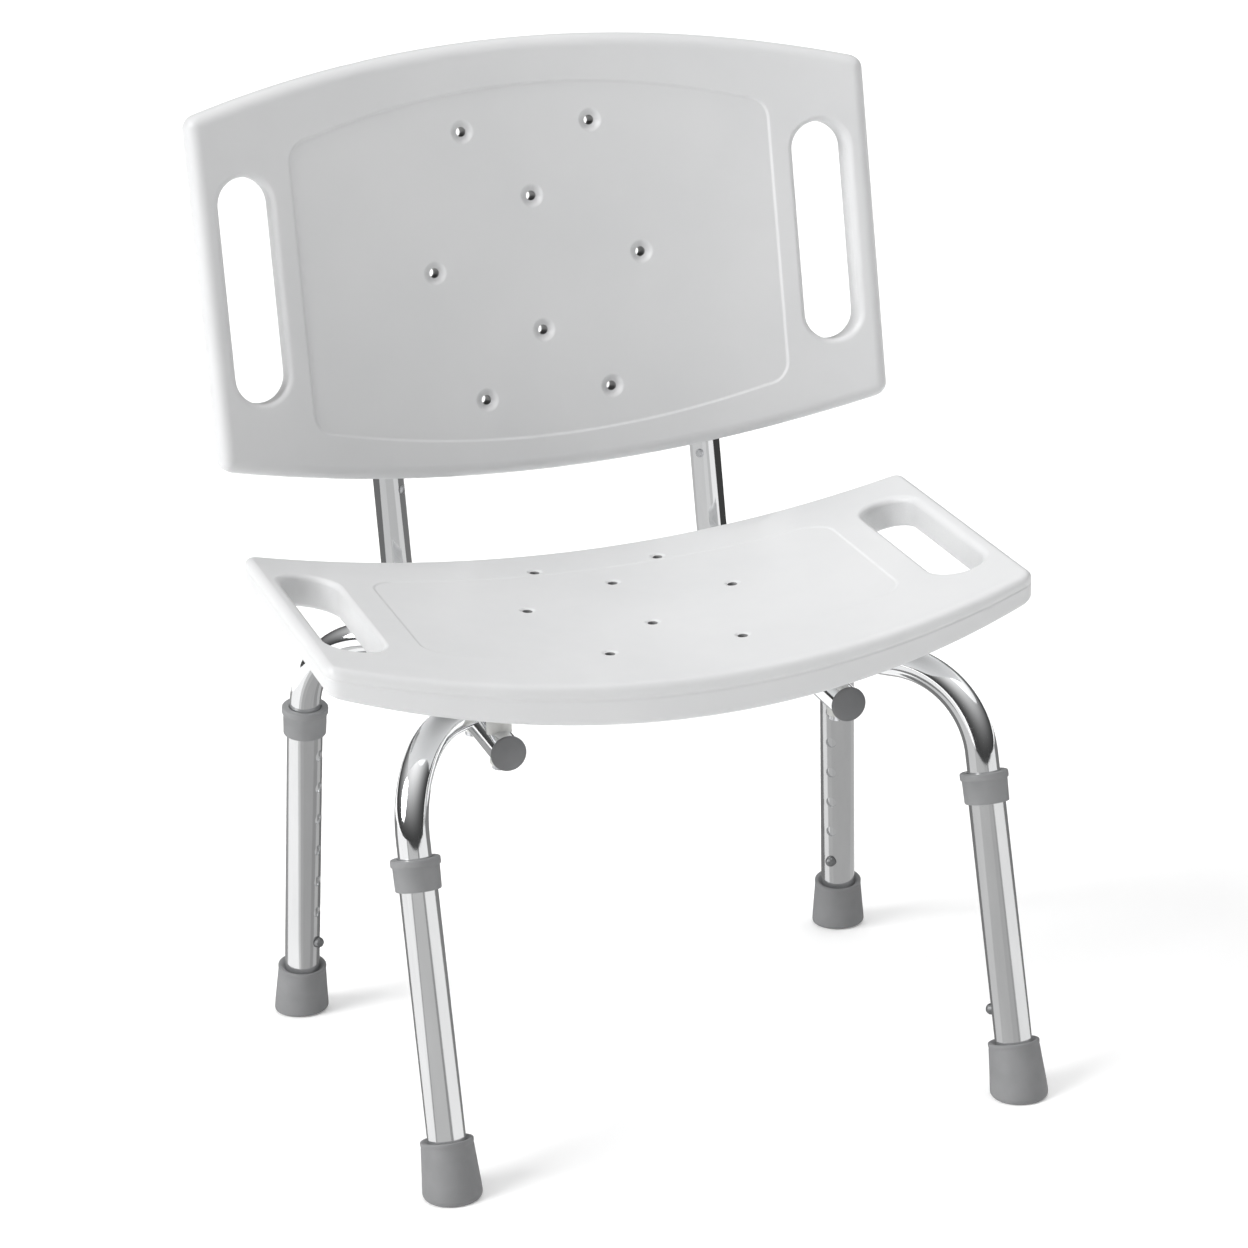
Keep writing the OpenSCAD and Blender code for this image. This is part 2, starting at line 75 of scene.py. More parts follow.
# fine details of the looks alone (mm)
EDGE_UNDER_R, GRIP_R, GRIP_UNDER_R = 4.0, 4.5, 3.0      # rounding of the panels' edges and slots
STEP_W, STEP_BOW = 2.0, 0.8                             # a panel's inner step: its width and share of the bow
DRAIN_UNDER = (1.4, 6.2, 2.8)                           # the dimple behind a drain hole
SLEEVE_FIT = 0.05                                       # collars and feet round the lower tube
LEVEL_TO = 12.0                                         # how far up a foot is still tipped to lie level
TUBE_EDGE, TUBE_SEEN_IN = 0.4, 24.0                     # the tubes' rounded ends, and how deep one sees in
HOLE_EDGE, HOLE_LAND = 0.25, 0.35                       # the broken edge of a height hole: in, and across
TUBE_GRID_CLEAR, TUBE_ON_HOLE = 0.7, 0.05               # how near its points a lower tube's mesh may come


def turned(v, degrees):
    """v turned about the X axis."""
    a = math.radians(degrees)
    x, y, z = np.moveaxis(np.asarray(v, float), -1, 0)
    return np.stack([x, y * math.cos(a) - z * math.sin(a), y * math.sin(a) + z * math.cos(a)], -1)


def seat_place(v):
    return SEAT_AT + turned(v, SEAT_TILT)


def back_place(v):
    return BACK_AT + turned(v, 90 - RECLINE)


def unit(v):
    v = np.asarray(v, float)
    return v / np.linalg.norm(v, axis=-1, keepdims=True)


def mirrored(p, side):
    return np.array([p[0] * side, p[1], p[2]], float)


# ---------------------------------------------------------------- meshes
def add_mesh(name, verts, faces, normals, attributes=None):
    """A mesh object from millimetre points; normals has one vector for each face corner."""
    mesh = bpy.data.meshes.new(name)
    mesh.from_pydata((np.asarray(verts) * MM).tolist(), [], [list(map(int, f)) for f in faces])
    for key, values in (attributes or {}).items():
        layer = mesh.attributes.new(key, "FLOAT_VECTOR", "POINT")
        layer.data.foreach_set("vector", np.asarray(values, np.float32).ravel())
    mesh.polygons.foreach_set("use_smooth", np.ones(len(mesh.polygons), bool))
    mesh.normals_split_custom_set([tuple(map(float, n)) for n in normals])
    mesh.update()
    obj = bpy.data.objects.new(name, mesh)
    bpy.context.scene.collection.objects.link(obj)
    return obj


def finish_piece(obj, body, material, replaces):
    """Gives a piece its material and body, and hides the CAD node that it replaces."""
    obj.data.materials.append(material)
    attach(obj, body)
    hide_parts(replaces)


def resample(points, step):
    """A closed polyline, resampled to an even step."""
    p = np.vstack([points, points[:1]])
    length = np.concatenate([[0], np.cumsum(np.linalg.norm(np.diff(p, axis=0), axis=1))])
    n = max(8, int(round(length[-1] / step)))
    at = np.linspace(0, length[-1], n, endpoint=False)
    return np.stack([np.interp(at, length, p[:, k]) for k in (0, 1)], 1)


def offset(points, d):
    """A closed counter-clockwise polyline drawn in by d."""
    ahead, behind = np.roll(points, -1, 0), np.roll(points, 1, 0)
    t = unit(ahead - behind)
    return points + d * np.stack([-t[:, 1], t[:, 0]], 1)


def inside(points, poly):
    """Which points lie inside a closed polygon."""
    x, y = points[:, :1], points[:, 1:]
    x1, y1 = poly[:, 0][None], poly[:, 1][None]
    x2, y2 = np.roll(poly[:, 0], -1)[None], np.roll(poly[:, 1], -1)[None]
    crosses = ((y1 > y) != (y2 > y)) & (x < (x2 - x1) * (y - y1) / (y2 - y1 + 1e-12) + x1)
    return crosses.sum(1) % 2 == 1


AT_ONCE = 2000      # how many points are measured together, to save memory


def edge_distance(points, poly):
    """Distance of each point to a closed polyline, and the unit vector from its nearest point."""
    best = np.full(len(points), 1e9)
    away = np.zeros((len(points), 2))
    a, b = poly, np.roll(poly, -1, 0)
    for i in range(0, len(points), AT_ONCE):
        p = points[i:i + AT_ONCE, None]
        t = np.clip(((p - a) * (b - a)).sum(2) / ((b - a) ** 2).sum(1), 0, 1)
        near = a + t[..., None] * (b - a)
        d = np.linalg.norm(p - near, axis=2)
        k = d.argmin(1)
        rows = np.arange(len(k))
        best[i:i + AT_ONCE] = d[rows, k]
        away[i:i + AT_ONCE] = p[:, 0] - near[rows, k]
    return best, away / np.maximum(np.linalg.norm(away, axis=1, keepdims=True), 1e-9)


def compact(points, faces):
    """Drops the points that no face uses."""
    used = np.unique(faces)
    order = np.full(len(points), -1)
    order[used] = np.arange(len(used))
    return points[used], order[faces]


def flat_mesh(closed, opened, grid, clear, keep):
    """Triangulates the plane round closed and open polylines, and grid points that stay clear of them.

    keep takes the middles of the faces and says which faces stay.
    """
    lines = closed + opened
    fixed = np.vstack(lines)
    clears = [np.linalg.norm(some[:, None] - fixed[None], axis=2).min(1) > clear
              for some in np.array_split(grid, range(AT_ONCE, len(grid), AT_ONCE))]
    grid = grid[np.concatenate(clears)]
    edges, start = [], 0
    for k, line in enumerate(lines):
        n = len(line)
        edges += [(start + i, start + (i + 1) % n) for i in range(n if k < len(closed) else n - 1)]
        start += n
    points = [Vector(p) for p in np.vstack([fixed, grid])]
    verts, _, faces, _, _, _ = delaunay_2d_cdt(points, edges, [], 0, 1e-5)
    verts, faces = np.array([v[:] for v in verts]), np.array(faces)
    faces = faces[keep(verts[faces].mean(1))]
    a, b, c = (verts[faces[:, k]] for k in range(3))
    area = (b - a)[:, 0] * (c - a)[:, 1] - (b - a)[:, 1] * (c - a)[:, 0]
    faces[area < 0] = faces[area < 0][:, ::-1]
    return compact(verts, faces)


def rim_edges(faces):
    """The edges that only one face uses, in that face's direction."""
    e = np.vstack([faces[:, [0, 1]], faces[:, [1, 2]], faces[:, [2, 0]]])
    keys = set(map(tuple, e))
    return np.array([x for x in map(tuple, e) if (x[1], x[0]) not in keys])


# ---------------------------------------------------------------- the two panels
OUTLINE_STEP, STEP_LINE_STEP, GRID, GRID_CLEAR = 2.4, 3.0, 4.5, 2.2   # spacing of the mesh's points
ON_EDGE, NEAR_STEP = 1e-3, 3        # a point this near an edge is on it, and this near the step may feel it
CUT_HOLE, ON_HOLE = 0.995, 1.02     # parts of a drain hole's radius: where faces go, and its rim's points


def panel_outline(w, side, low_bow, high_bow, corner=CORNER_R):
    """The outline, counter-clockwise, from the lower left round to the upper left."""
    reach = w / 2 - corner
    xs = np.linspace(-reach, reach, 160)

    def bow(x, b):
        return side / 2 + b * (1 - (2 * x / w) ** 2)

    def arc(x, y, a0, a1, wider0, wider1):
        """A corner round (x, y), moved out to the panel's full width as it nears the side."""
        a = np.linspace(a0, a1, 16)
        return np.stack([x + corner * np.cos(a) + np.linspace(wider0, wider1, 16), y + corner * np.sin(a)], 1)
    low_slope, high_slope = (math.atan(8 * b * reach / w ** 2) for b in (low_bow, high_bow))
    low_x, high_x = (reach - corner * math.sin(slope) for slope in (low_slope, high_slope))
    low_y = -bow(reach, low_bow) + corner * math.cos(low_slope)
    high_y = bow(reach, high_bow) - corner * math.cos(high_slope)
    right_low = arc(low_x, low_y, -math.pi / 2 + low_slope, 0, 0, reach - low_x)
    right_high = arc(high_x, high_y, 0, math.pi / 2 - high_slope, reach - high_x, 0)
    low = np.stack([xs, -bow(xs, low_bow)], 1)
    high = np.stack([xs[::-1], bow(xs[::-1], high_bow)], 1)
    flip = [-1, 1]
    return resample(np.vstack([low, right_low, right_high, high,
                               right_high[::-1] * flip, right_low[::-1] * flip]), OUTLINE_STEP)


def capsule(side, grow):
    """The outline of a grip slot, grown by grow."""
    reach, r = (SLOT_LEN - SLOT_W) / 2, SLOT_W / 2 + grow
    a = np.radians(np.linspace(0, 180, 21))
    high = np.stack([r * np.cos(a), reach + r * np.sin(a)], 1)
    left, right = (np.stack([np.full(46, x), np.linspace(-reach, reach, 46)], 1)[1:-1] for x in (-r, r))
    loop = np.vstack([high, left[::-1], -high, right])
    return loop + [side * SLOT_X, 0]


def circle(x, y, r, n=40):
    a = np.arange(n) * 2 * math.pi / n
    return np.stack([x + r * np.cos(a), y + r * np.sin(a)], 1)


def rounded(d, r):
    """How far a surface has dropped at a distance d inside an edge of radius r."""
    t = np.clip((r - d) / r, 0, 1)
    return r * (1 - np.sqrt(np.maximum(1 - t * t, 0))), t


def smooth(t):
    t = np.clip(t, 0, 1)
    return t * t * (3 - 2 * t)


def inner_frame(spec, x_line, low, high, corner):
    """The line of the sunk middle: a rounded rectangle whose ends bow a little less than the panel's."""
    low_bow, high_bow = spec["low_bow"] * STEP_BOW, spec["high_bow"] * STEP_BOW

    def bow(x, edge, b):
        return edge + b * (1 - (x / x_line) ** 2)
    xs = np.linspace(-x_line + corner, x_line - corner, 90)
    a = np.radians(np.linspace(-90, 0, 10))
    low_y, high_y = bow(xs[-1], -low, -low_bow), bow(xs[-1], high, high_bow)
    br = np.stack([xs[-1] + corner * np.cos(a), low_y + corner + corner * np.sin(a)], 1)
    tr = np.stack([xs[-1] + corner * np.cos(a[::-1]), high_y - corner - corner * np.sin(a[::-1])], 1)
    loop = np.vstack([np.stack([xs, bow(xs, -low, -low_bow)], 1), br, tr,
                      np.stack([xs[::-1], bow(xs[::-1], high, high_bow)], 1),
                      tr[::-1] * [-1, 1], br[::-1] * [-1, 1]])
    return resample(loop, STEP_LINE_STEP)


def slope_normals(heights, eps=0.05):
    """Unit normals of a surface over the plane; heights(move) gives it a small move from every point."""
    dx, dy = ((heights(d) - heights(-d)) / (2 * eps) for d in (np.array([eps, 0]), np.array([0, eps])))
    return unit(np.stack([-dx, -dy, np.ones(len(dx))], 1))


def leaned(normals, out, t):
    """Normals turned to a rounded edge's side: not at all where t is 0, and fully where it is 1."""
    return unit(normals * np.sqrt(np.maximum(1 - t ** 2, 0))[:, None] + out * t[:, None])


ROUNDING = np.radians([0, 12, 24, 36, 48, 60, 75, 90])              # loops that follow a rounded edge
DRAIN_LOOPS = (DRAIN_R, 4.2, 5.2, 6.2, 7.0, 7.8, 9.0, 10.5, 12.0)   # radii of the loops round a hole
STEP_LOOPS = (-1.6, -0.8, 0, 0.8, 1.6)                              # loops beside the step
CHANNEL_LINES = (-1, -0.8, -0.5, 0, 0.5, 0.8, 1)                    # lines along a tube's channel


class Panel:
    """One panel in its own frame: X across it, Y up it and Z out of its front."""
    def __init__(self, spec, drains, look):
        self.spec, self.look = spec, look
        self.outline = panel_outline(**spec)
        self.step_line = inner_frame(spec, *look["frame"])
        self.slots = [capsule(s, 0) for s in (-1, 1)]
        self.holes = [(s * x, y) for x, y in drains for s in ((1,) if x == 0 else (-1, 1))]

    def to_hole(self, q):
        """Distance to the middle of the nearest drain hole."""
        return np.min([np.hypot(q[:, 0] - x, q[:, 1] - y) for x, y in self.holes], 0)

    def to_step(self, q):
        """Distance to the step round the sunk middle, positive inside it."""
        d, _ = edge_distance(q, self.step_line)
        return np.where(inside(q, self.step_line), d, -d)

    def dimple(self, q, depth, reach, width):
        return depth * smooth((reach - self.to_hole(q)) / width)

    def front(self, q, to_step):
        """Heights of the front surface, without its rounded edges."""
        x, y = q[:, 0], q[:, 1]
        z = DISH_R - np.sqrt(DISH_R ** 2 - x * x)
        z = z - self.look["sink"](y) * smooth(to_step / STEP_W + 0.5)
        return z - self.dimple(q, *self.look["dimple"])

    def rear(self, q):
        """Heights of the rear surface, without its rounded edges."""
        x, radius = q[:, 0], self.look["under_r"]
        z = radius - self.look["t"] - np.sqrt(radius ** 2 - x * x) + self.dimple(q, *DRAIN_UNDER)
        if self.look["channels"]:
            gap, r = np.abs(np.abs(x) - TUBE_X), UPPER_R + TUBE_PLAY
            bed = -TUBE_DEPTH + np.sqrt(np.maximum(r * r - gap * gap, 0))
            z = np.maximum(z, np.where(gap < r, bed, -np.inf))
        return z

    def loops(self):
        """The closed lines that the flat mesh follows."""
        lines = [offset(self.outline, self.look["edge"] * (1 - math.cos(t))) for t in ROUNDING]
        for s in (-1, 1):
            lines += [capsule(s, GRIP_R * (1 - math.cos(t))) for t in ROUNDING]
        for x, y in self.holes:
            lines += [circle(x, y, r) for r in DRAIN_LOOPS]
        return lines + [offset(self.step_line, d) for d in STEP_LOOPS]

    def channel_lines(self):
        """The open lines along the channels that the back tubes lie in."""
        if not self.look["channels"]:
            return []
        spec, radius, lines = self.spec, self.look["under_r"], []
        rear_z = radius - self.look["t"] - math.sqrt(radius ** 2 - TUBE_X ** 2)
        half = math.sqrt((UPPER_R + TUBE_PLAY) ** 2 - (TUBE_DEPTH + rear_z) ** 2)
        for s in (-1, 1):
            for k in CHANNEL_LINES:
                x = s * TUBE_X + k * half
                down, up = (spec["side"] / 2 + spec[bow] * (1 - (2 * x / spec["w"]) ** 2) - self.look["edge"]
                            for bow in ("low_bow", "high_bow"))
                lines.append(np.stack([np.full(60, x), np.linspace(-down, up, 60)], 1))
        return lines

    def flat(self):
        """The flat mesh of the panel's face, open at its slots and drain holes."""
        gx, gy = np.meshgrid(np.arange(-250, 250, GRID), np.arange(-170, 171, GRID))
        stagger = GRID / 2 * (np.arange(gx.size) // gx.shape[1] % 2)
        grid = np.stack([gx.ravel() + stagger, gy.ravel()], 1)
        grid = grid[inside(grid, offset(self.outline, self.look["edge"]))]
        grid = grid[~(inside(grid, capsule(-1, GRIP_R)) | inside(grid, capsule(1, GRIP_R)))]

        def keep(c):
            in_slot = inside(c, self.slots[0]) | inside(c, self.slots[1])
            return inside(c, self.outline) & ~in_slot & (self.to_hole(c) > DRAIN_R * CUT_HOLE)
        return flat_mesh(self.loops(), self.channel_lines(), grid, GRID_CLEAR, keep)


def make_panel(name, node, panel, place, material):
    """The panel's skin: its front, its rear and the walls between them."""
    p, tris = panel.flat()
    n = len(p)
    to_step = panel.to_step(p)
    at_hole = panel.to_hole(p) < DRAIN_R * ON_HOLE
    on_outline = edge_distance(p, panel.outline)[0] < ON_EDGE

    def front_near(move):
        q, near = p + move, np.abs(to_step) < NEAR_STEP
        moved = to_step.copy()
        moved[near] = panel.to_step(q[near])
        return panel.front(q, moved)
    n_top = slope_normals(front_near)
    n_under = -slope_normals(lambda move: panel.rear(p + move))
    z_top, z_under = panel.front(p, to_step), panel.rear(p)

    # round the edges, and find the direction that each wall faces
    rims = [(panel.outline, panel.look["edge"], EDGE_UNDER_R)]
    rims += [(slot_line, GRIP_R, GRIP_UNDER_R) for slot_line in panel.slots]
    side_n = np.zeros((n, 3))
    for line, r_top, r_under in rims:
        d, inward = edge_distance(p, line)
        at_rim = d < ON_EDGE
        out = np.column_stack([-inward, np.zeros(n)])
        out[at_rim] = rim_direction(p, tris, at_rim)[at_rim]
        drop, t = rounded(d, r_top)
        z_top, n_top = z_top - drop, leaned(n_top, out, t)
        drop, t = rounded(d, r_under)
        z_under, n_under = z_under + drop, leaned(n_under, out, t)
        side_n[at_rim] = out[at_rim]
    side_n[at_hole] = rim_direction(p, tris, at_hole)[at_hole]

    verts = np.vstack([np.column_stack([p, z_top]), np.column_stack([p, z_under])])
    faces = [tuple(t) for t in tris] + [tuple(t[::-1] + n) for t in tris]
    corner_n = [n_top[v] for t in tris for v in t] + [n_under[v] for t in tris for v in t[::-1]]
    tilts = [0] + [tilt for _, _, tilt in PARTING] + [0]
    wall = {}
    for a, b in rim_edges(tris):
        if not on_outline[a]:
            faces.append((b, a, a + n, b + n))
            corner_n += [side_n[b], side_n[a], side_n[a], side_n[b]]
            continue
        for v in (a, b):
            if v not in wall:
                rows = [verts[v] * (1 - f) + verts[v + n] * f + side_n[v] * shift for f, shift, _ in PARTING]
                wall[v] = [v, *range(len(verts), len(verts) + len(rows)), v + n]
                verts = np.vstack([verts, rows])
        for k in range(len(PARTING) + 1):
            corners = ((b, k), (a, k), (a, k + 1), (b, k + 1))
            faces.append([wall[v][j] for v, j in corners])
            corner_n += [unit(side_n[v] + [0, 0, tilts[j]]) for v, j in corners]
    corner_n = place(np.array(corner_n)) - place(np.zeros((1, 3)))
    obj = add_mesh(name, place(verts), faces, corner_n, {"panel_at": verts * MM})
    finish_piece(obj, "frame", material, node)


def rim_direction(p, tris, which):
    """The outward direction in the plane at the boundary points."""
    out = np.zeros((len(p), 3))
    for a, b in rim_edges(tris):
        if which[a] and which[b]:
            t = p[b] - p[a]
            n = np.array([t[1], -t[0], 0]) / max(np.linalg.norm(t), 1e-9)
            out[a] += n
            out[b] += n
    return out / np.maximum(np.linalg.norm(out, axis=1, keepdims=True), 1e-9)


# ---------------------------------------------------------------- tubes
def bent_path(points, bend_r, bend_steps=36, run_step=12.0):
    """Centre line of a bent tube, with its tangents."""
    p = [np.asarray(q, float) for q in points]
    centre, along = [], []

    def run(a, b):
        n = max(2, int(np.linalg.norm(b - a) / run_step))
        for k in range(n):
            centre.append(a + (b - a) * k / n)
            along.append(unit(b - a))
    start = p[0]
    for i in range(1, len(p) - 1):
        u, v = unit(p[i] - p[i - 1]), unit(p[i + 1] - p[i])
        turn = math.acos(float(np.clip(u @ v, -1, 1)))
        reach = bend_r * math.tan(turn / 2)
        n = unit(v - (v @ u) * u)
        run(start, p[i] - reach * u)
        middle = p[i] - reach * u + bend_r * n
        for k in range(bend_steps):
            a = turn * k / bend_steps
            centre.append(middle + bend_r * (u * math.sin(a) - n * math.cos(a)))
            along.append(u * math.cos(a) + n * math.sin(a))
        start = p[i] + reach * v
    run(start, p[-1])
    centre.append(p[-1])
    along.append(unit(p[-1] - p[-2]))
    return np.array(centre), np.array(along)


def swept_tube(name, points, bend_r, sides=72):
    """A bent upper or back tube, with its wall showing at both ends."""
    centre, along = bent_path(points, bend_r)
    side = unit(np.cross(along[0], [0.3, 0.2, 0.9]))      # any first side will do; the next ones follow it
    frames = []
    for t in along:
        side = unit(side - (side @ t) * t)
        frames.append((side, np.cross(t, side)))
    length = np.concatenate([[0], np.cumsum(np.linalg.norm(np.diff(centre, axis=0), axis=1))])
    a = np.arange(sides) * 2 * math.pi / sides
    last, inner_r = len(centre) - 1, UPPER_R - UPPER_WALL

    # each ring: its point of the path, radius, shift along the tube, and facing (1 out, -1 in, 0 endwise)
    start = [(0, inner_r, TUBE_SEEN_IN, -1), (0, inner_r, TUBE_EDGE, -1),
             (0, inner_r + TUBE_EDGE, 0, 0), (0, UPPER_R - TUBE_EDGE, 0, 0)]
    skin = [(i, UPPER_R, TUBE_EDGE * ((i == 0) - (i == last)), 1) for i in range(last + 1)]
    end = [(last, r, -shift, facing) for _, r, shift, facing in start[::-1]]
    verts, normals, coords = [], [], []
    for i, r, shift, facing in start + skin + end:
        radial = np.cos(a)[:, None] * frames[i][0] + np.sin(a)[:, None] * frames[i][1]
        verts.append(centre[i] + along[i] * shift + radial * r)
        endwise = -along[i] if i == 0 else along[i]
        normals.append(radial * facing if facing else np.repeat(endwise[None], sides, 0))
        at = np.full(sides, (length[i] + shift) * MM)
        coords.append(np.stack([a * UPPER_R * MM, at, np.zeros(sides)], 1))
    faces, corner_n = [], []
    for k in range(len(verts) - 1):
        for j in range(sides):
            corners = ((k, j), (k, (j + 1) % sides), (k + 1, (j + 1) % sides), (k + 1, j))
            faces.append([ring * sides + m for ring, m in corners])
            corner_n += [normals[ring][m] for ring, m in corners]
    return add_mesh(name, np.vstack(verts), faces, corner_n, {"tube_at": np.vstack(coords)})


class Axis:
    """A piece's own frame: s runs along Z from the origin, and X points roughly along x."""
    def __init__(self, origin, z, x):
        self.origin, self.z = origin, unit(z)
        self.x = unit(x - (x @ self.z) * self.z)
        self.y = np.cross(self.z, self.x)

    def at(self, v):
        v = np.asarray(v, float)
        return self.origin + v[..., :1] * self.x + v[..., 1:2] * self.y + v[..., 2:3] * self.z

    def turn(self, v):
        return self.at(v) - self.origin


class Leg(Axis):
    """A leg's own frame: s runs up the leg from the floor, X points to the side of the button."""
    def __init__(self, end, side):
        front = end == "front"
        self.corner = mirrored(seat_place(FRONT_CORNER if front else REAR_CORNER), side)
        self.inner = mirrored(seat_place(FRONT_INNER if front else REAR_INNER), side)
        foot = mirrored(FRONT_FOOT if front else REAR_FOOT, side)
        super().__init__(foot, self.corner - foot, self.inner - self.corner)


def lathe(name, axis, profile, sides=96, level=None):
    """Turns a profile of (radius, s), or (radius, s, 1) at a sharp corner, round the axis.

    It runs from the bottom outwards and up; one that ends where it starts makes a ring.
    level is a function of s that says how far a ring is tipped to lie level, from 0 to 1.
    """
    ring = profile[0] == profile[-1]
    a = np.arange(sides) * 2 * math.pi / sides
    pts, sharp = np.array([q[:2] for q in profile], float), [len(q) > 2 for q in profile]
    seg = unit(np.diff(pts, axis=0))
    seg_n = np.stack([seg[:, 1], -seg[:, 0]], 1)
    n = len(pts)
    verts = []
    for r, s in pts[:-1] if ring else pts:
        world = axis.at(np.stack([r * np.cos(a), r * np.sin(a), np.full(sides, s)], 1))
        if level:
            world = world + ((s - world[:, 2]) / axis.z[2] * level(s))[:, None] * axis.z
        verts.append(world)
    faces, corner_n = [], []
    for k in range(n - 1):
        def normal(i):
            before = seg_n[i - 1] if i or ring else seg_n[k]
            after = seg_n[i % (n - 1)] if i < n - 1 or ring else seg_n[k]
            return seg_n[k] if sharp[i] else unit(before + after)
        na, nb = normal(k), normal(k + 1)
        top = (k + 1) % len(verts)
        for j in range(sides):
            j2 = (j + 1) % sides
            for col, v in ((j, na), (j2, na), (j2, nb), (j, nb)):
                corner_n.append(axis.turn([v[0] * math.cos(a[col]), v[0] * math.sin(a[col]), v[1]]))
            faces.append([k * sides + j, k * sides + j2, top * sides + j2, top * sides + j])
    for k, down in ((0, True), (n - 1, False)):
        if not ring and pts[k][0] > 0.01:
            disc = [k * sides + j for j in range(sides)]
            faces.append(disc[::-1] if down else disc)
            corner_n += [axis.turn([0, 0, -1.0 if down else 1.0])] * sides
    return add_mesh(name, np.vstack(verts), faces, corner_n)


def bead(r, s, radius, start, end, steps=5):
    """Points round a rounded corner: the circle about (r, s), from one angle to another."""
    return [(r + radius * math.cos(math.radians(t)), s + radius * math.sin(math.radians(t)))
            for t in np.linspace(start, end, steps)]


def collar_profile(top):
    """A sleeve over the end of the lower tube, with a lip that closes in on the upper tube."""
    skirt = top - COLLAR_SKIRT
    return ([(LOWER_R + SLEEVE_FIT, skirt + 1.0), (LOWER_R + 0.7, skirt, 1)]
            + bead(LOWER_R + 1.7, skirt + 0.8, 0.8, -90, 0)
            + [(LOWER_R + 2.8, top - 3.4)] + bead(LOWER_R + 3.0, top - 2.2, 0.8, -30, 0, 3)
            + bead(LOWER_R + 2.8, top + COLLAR_LIP - 1.0, 1.0, 0, 90)
            + bead(UPPER_R + 1.1, top + COLLAR_LIP - 0.8, 0.8, 90, 180)
            + [(UPPER_R + 0.3, top - 2, 1), (LOWER_R + SLEEVE_FIT, top - 2, 1),
               (LOWER_R + SLEEVE_FIT, skirt + 1.0)])


def foot_profile():
    """The rubber foot: a tread of two grooves below, a rounded heel, and a thin lip at the top."""
    base, top = LOWER_R + 7, LOWER_R + 4.6
    return ([(0, 1.5), (6.5, 1.5, 1), (7.3, 0, 1), (10, 0, 1), (10.6, 1.3, 1), (11.6, 1.3, 1), (12.2, 0, 1)]
            + bead(base - 3.6, 3.6, 3.6, -90, 0, 8)
            + [(base - 0.3, 9), (base - 0.8, 15), (top + 0.2, FOOT_H - 4.5), (top - 0.1, FOOT_H - 3.2),
               (top + 0.2, FOOT_H - 2.4)]
            + bead(top - 0.5, FOOT_H - 0.8, 0.8, 0, 90)
            + [(top - 1.9, FOOT_H - 0.1), (LOWER_R + 1.0, FOOT_H - 1.6),
               (LOWER_R + SLEEVE_FIT, FOOT_H - 3.0, 1), (LOWER_R + SLEEVE_FIT, FOOT_BORE, 1), (0, FOOT_BORE)])


def cap_profile(lip_r, stem=14.0, rim=2.0, rise=2.4, dome_r=30.0):
    """A pressed-in plug with a domed flange: s runs out of the tube."""
    stem_r = UPPER_R - UPPER_WALL - 0.1
    dome = [(r, rim + rise - dome_r + math.sqrt(dome_r ** 2 - r * r)) for r in np.linspace(lip_r - 1.4, 0, 7)]
    plug = [(0, -stem), (stem_r - 1.1, -stem, 1), (stem_r, 1.1 - stem), (stem_r, 0.02, 1)]
    flange = [(lip_r - 0.35, 0.02, 1), (lip_r, 0.4)] + bead(lip_r - 1.2, dome[0][1] - 1.3, 1.2, 0, 75, 5)
    return plug + flange + dome


